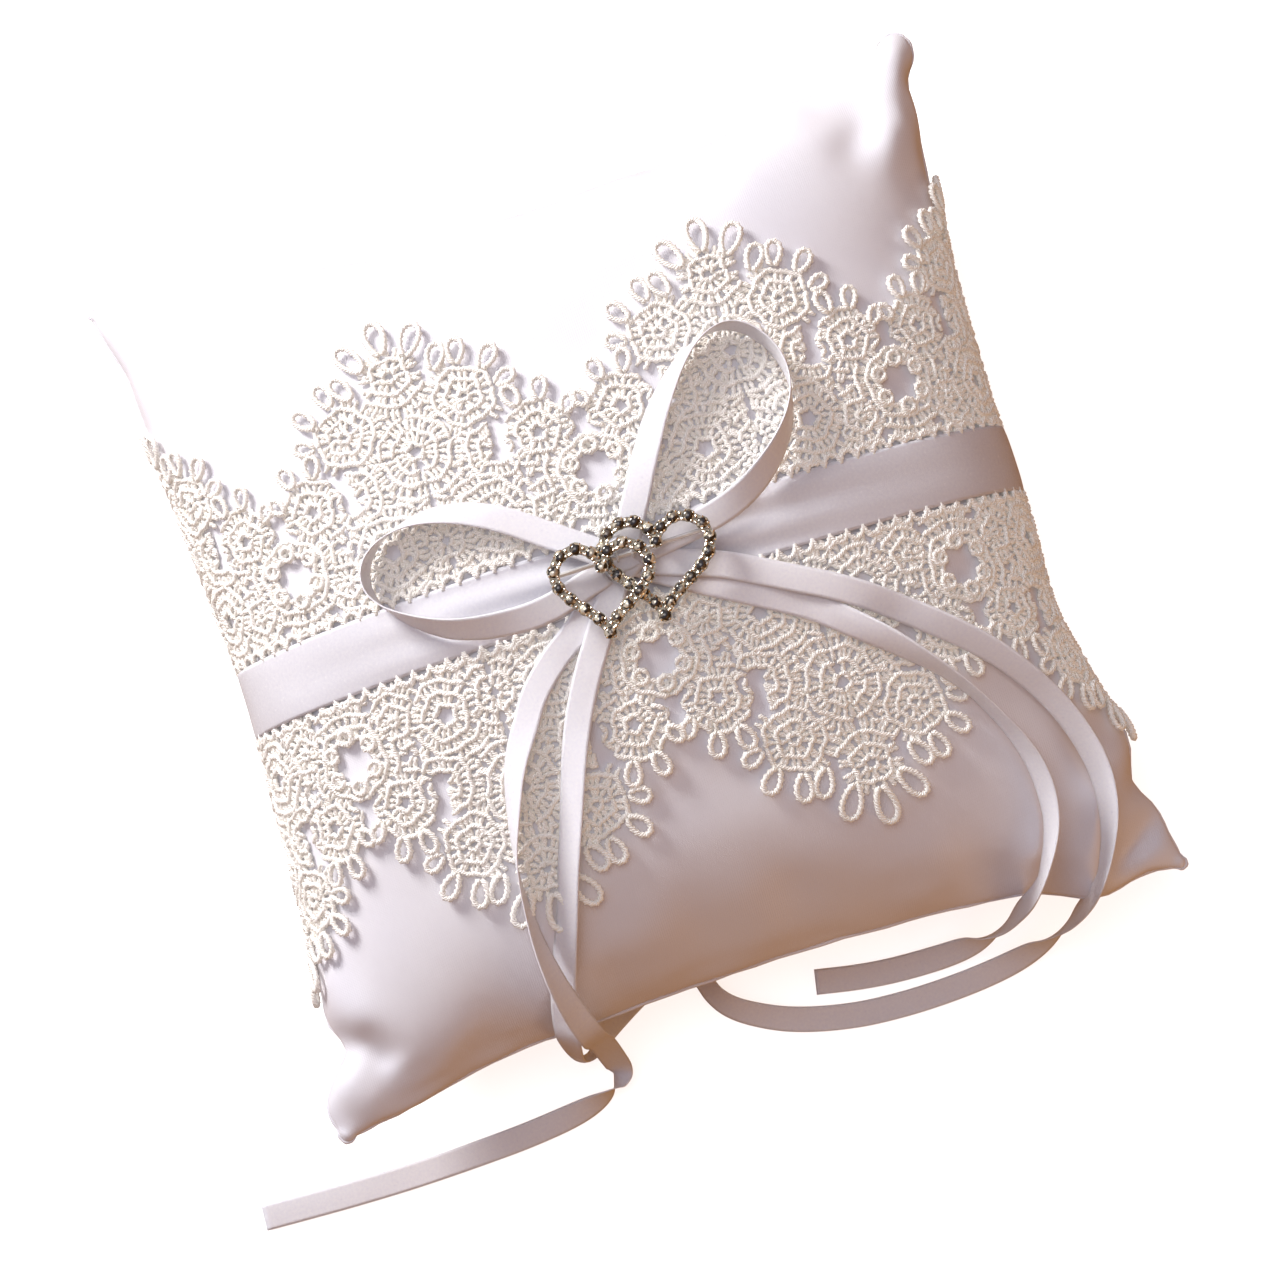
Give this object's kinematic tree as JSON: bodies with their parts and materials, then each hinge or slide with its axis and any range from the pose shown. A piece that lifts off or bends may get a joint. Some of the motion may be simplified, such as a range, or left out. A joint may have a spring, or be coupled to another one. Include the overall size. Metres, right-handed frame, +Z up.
{
  "type": "ring bearer pillow",
  "caption": "Square satin ring bearer pillow wrapped with a scalloped lace band and a satin ribbon, with a ribbon bow, loose tails and a double heart rhinestone buckle.",
  "frame": {"origin": "below the middle of the pillow, on the surface it lies on", "axes": "+X along the satin band, towards the right edge of the face; +Y towards the top edge of the face; +Z up through the pillow, out of the face with the bow"},
  "size_m": [0.2272, 0.2162, 0.0772],
  "materials": {
    "white_satin": "smooth duchess satin with a soft sheen",
    "polyester_fibre": "loose white fibre fill",
    "ivory_lace": "matt corded guipure lace",
    "ribbon_satin": "glossy woven satin ribbon",
    "silver_metal": "bright plated cast metal",
    "smoky_crystal": "faceted foil-backed rhinestone",
    "white_thread": "matt sewing thread"
  },
  "bodies": {
    "cushion": {"cover_front": "white_satin", "cover_back": "white_satin", "fibre_fill": "polyester_fibre", "lace_band": "ivory_lace", "satin_band": "ribbon_satin", "bow_knot": "ribbon_satin", "bow_loop_left": "ribbon_satin", "bow_loop_right": "ribbon_satin", "tail_left_outer": "ribbon_satin", "tail_left_inner": "ribbon_satin", "tail_right_outer": "ribbon_satin", "tail_right_inner": "ribbon_satin", "tack_stitch_1": "white_thread", "tack_stitch_2": "white_thread"},
    "buckle": {"buckle_bar": "silver_metal", "heart_frame_large": "silver_metal", "heart_frame_small": "silver_metal", "stone_large_01": "smoky_crystal", "stone_large_02": "smoky_crystal", "stone_large_03": "smoky_crystal", "stone_large_04": "smoky_crystal", "stone_large_05": "smoky_crystal", "stone_large_06": "smoky_crystal", "stone_large_07": "smoky_crystal", "stone_large_08": "smoky_crystal", "stone_large_09": "smoky_crystal", "stone_large_10": "smoky_crystal", "stone_large_11": "smoky_crystal", "stone_large_12": "smoky_crystal", "stone_large_13": "smoky_crystal", "stone_large_14": "smoky_crystal", "stone_large_15": "smoky_crystal", "stone_large_16": "smoky_crystal", "stone_large_17": "smoky_crystal", "stone_large_18": "smoky_crystal", "stone_large_19": "smoky_crystal", "stone_large_20": "smoky_crystal", "stone_large_21": "smoky_crystal", "stone_large_22": "smoky_crystal", "stone_small_01": "smoky_crystal", "stone_small_02": "smoky_crystal", "stone_small_03": "smoky_crystal", "stone_small_04": "smoky_crystal", "stone_small_05": "smoky_crystal", "stone_small_06": "smoky_crystal", "stone_small_07": "smoky_crystal", "stone_small_08": "smoky_crystal", "stone_small_09": "smoky_crystal", "stone_small_10": "smoky_crystal", "stone_small_11": "smoky_crystal", "stone_small_12": "smoky_crystal", "stone_small_13": "smoky_crystal", "stone_small_14": "smoky_crystal", "stone_small_15": "smoky_crystal", "stone_small_16": "smoky_crystal", "stone_small_17": "smoky_crystal", "stone_small_18": "smoky_crystal"}
  },
  "joints": [
    {"name": "buckle_tilt", "type": "hinge", "parent": "cushion", "child": "buckle", "pos_m": [0, 0.0013, 0.0729], "axis": [-1, 0, 0], "range_deg": [0, 8]}
  ]
}
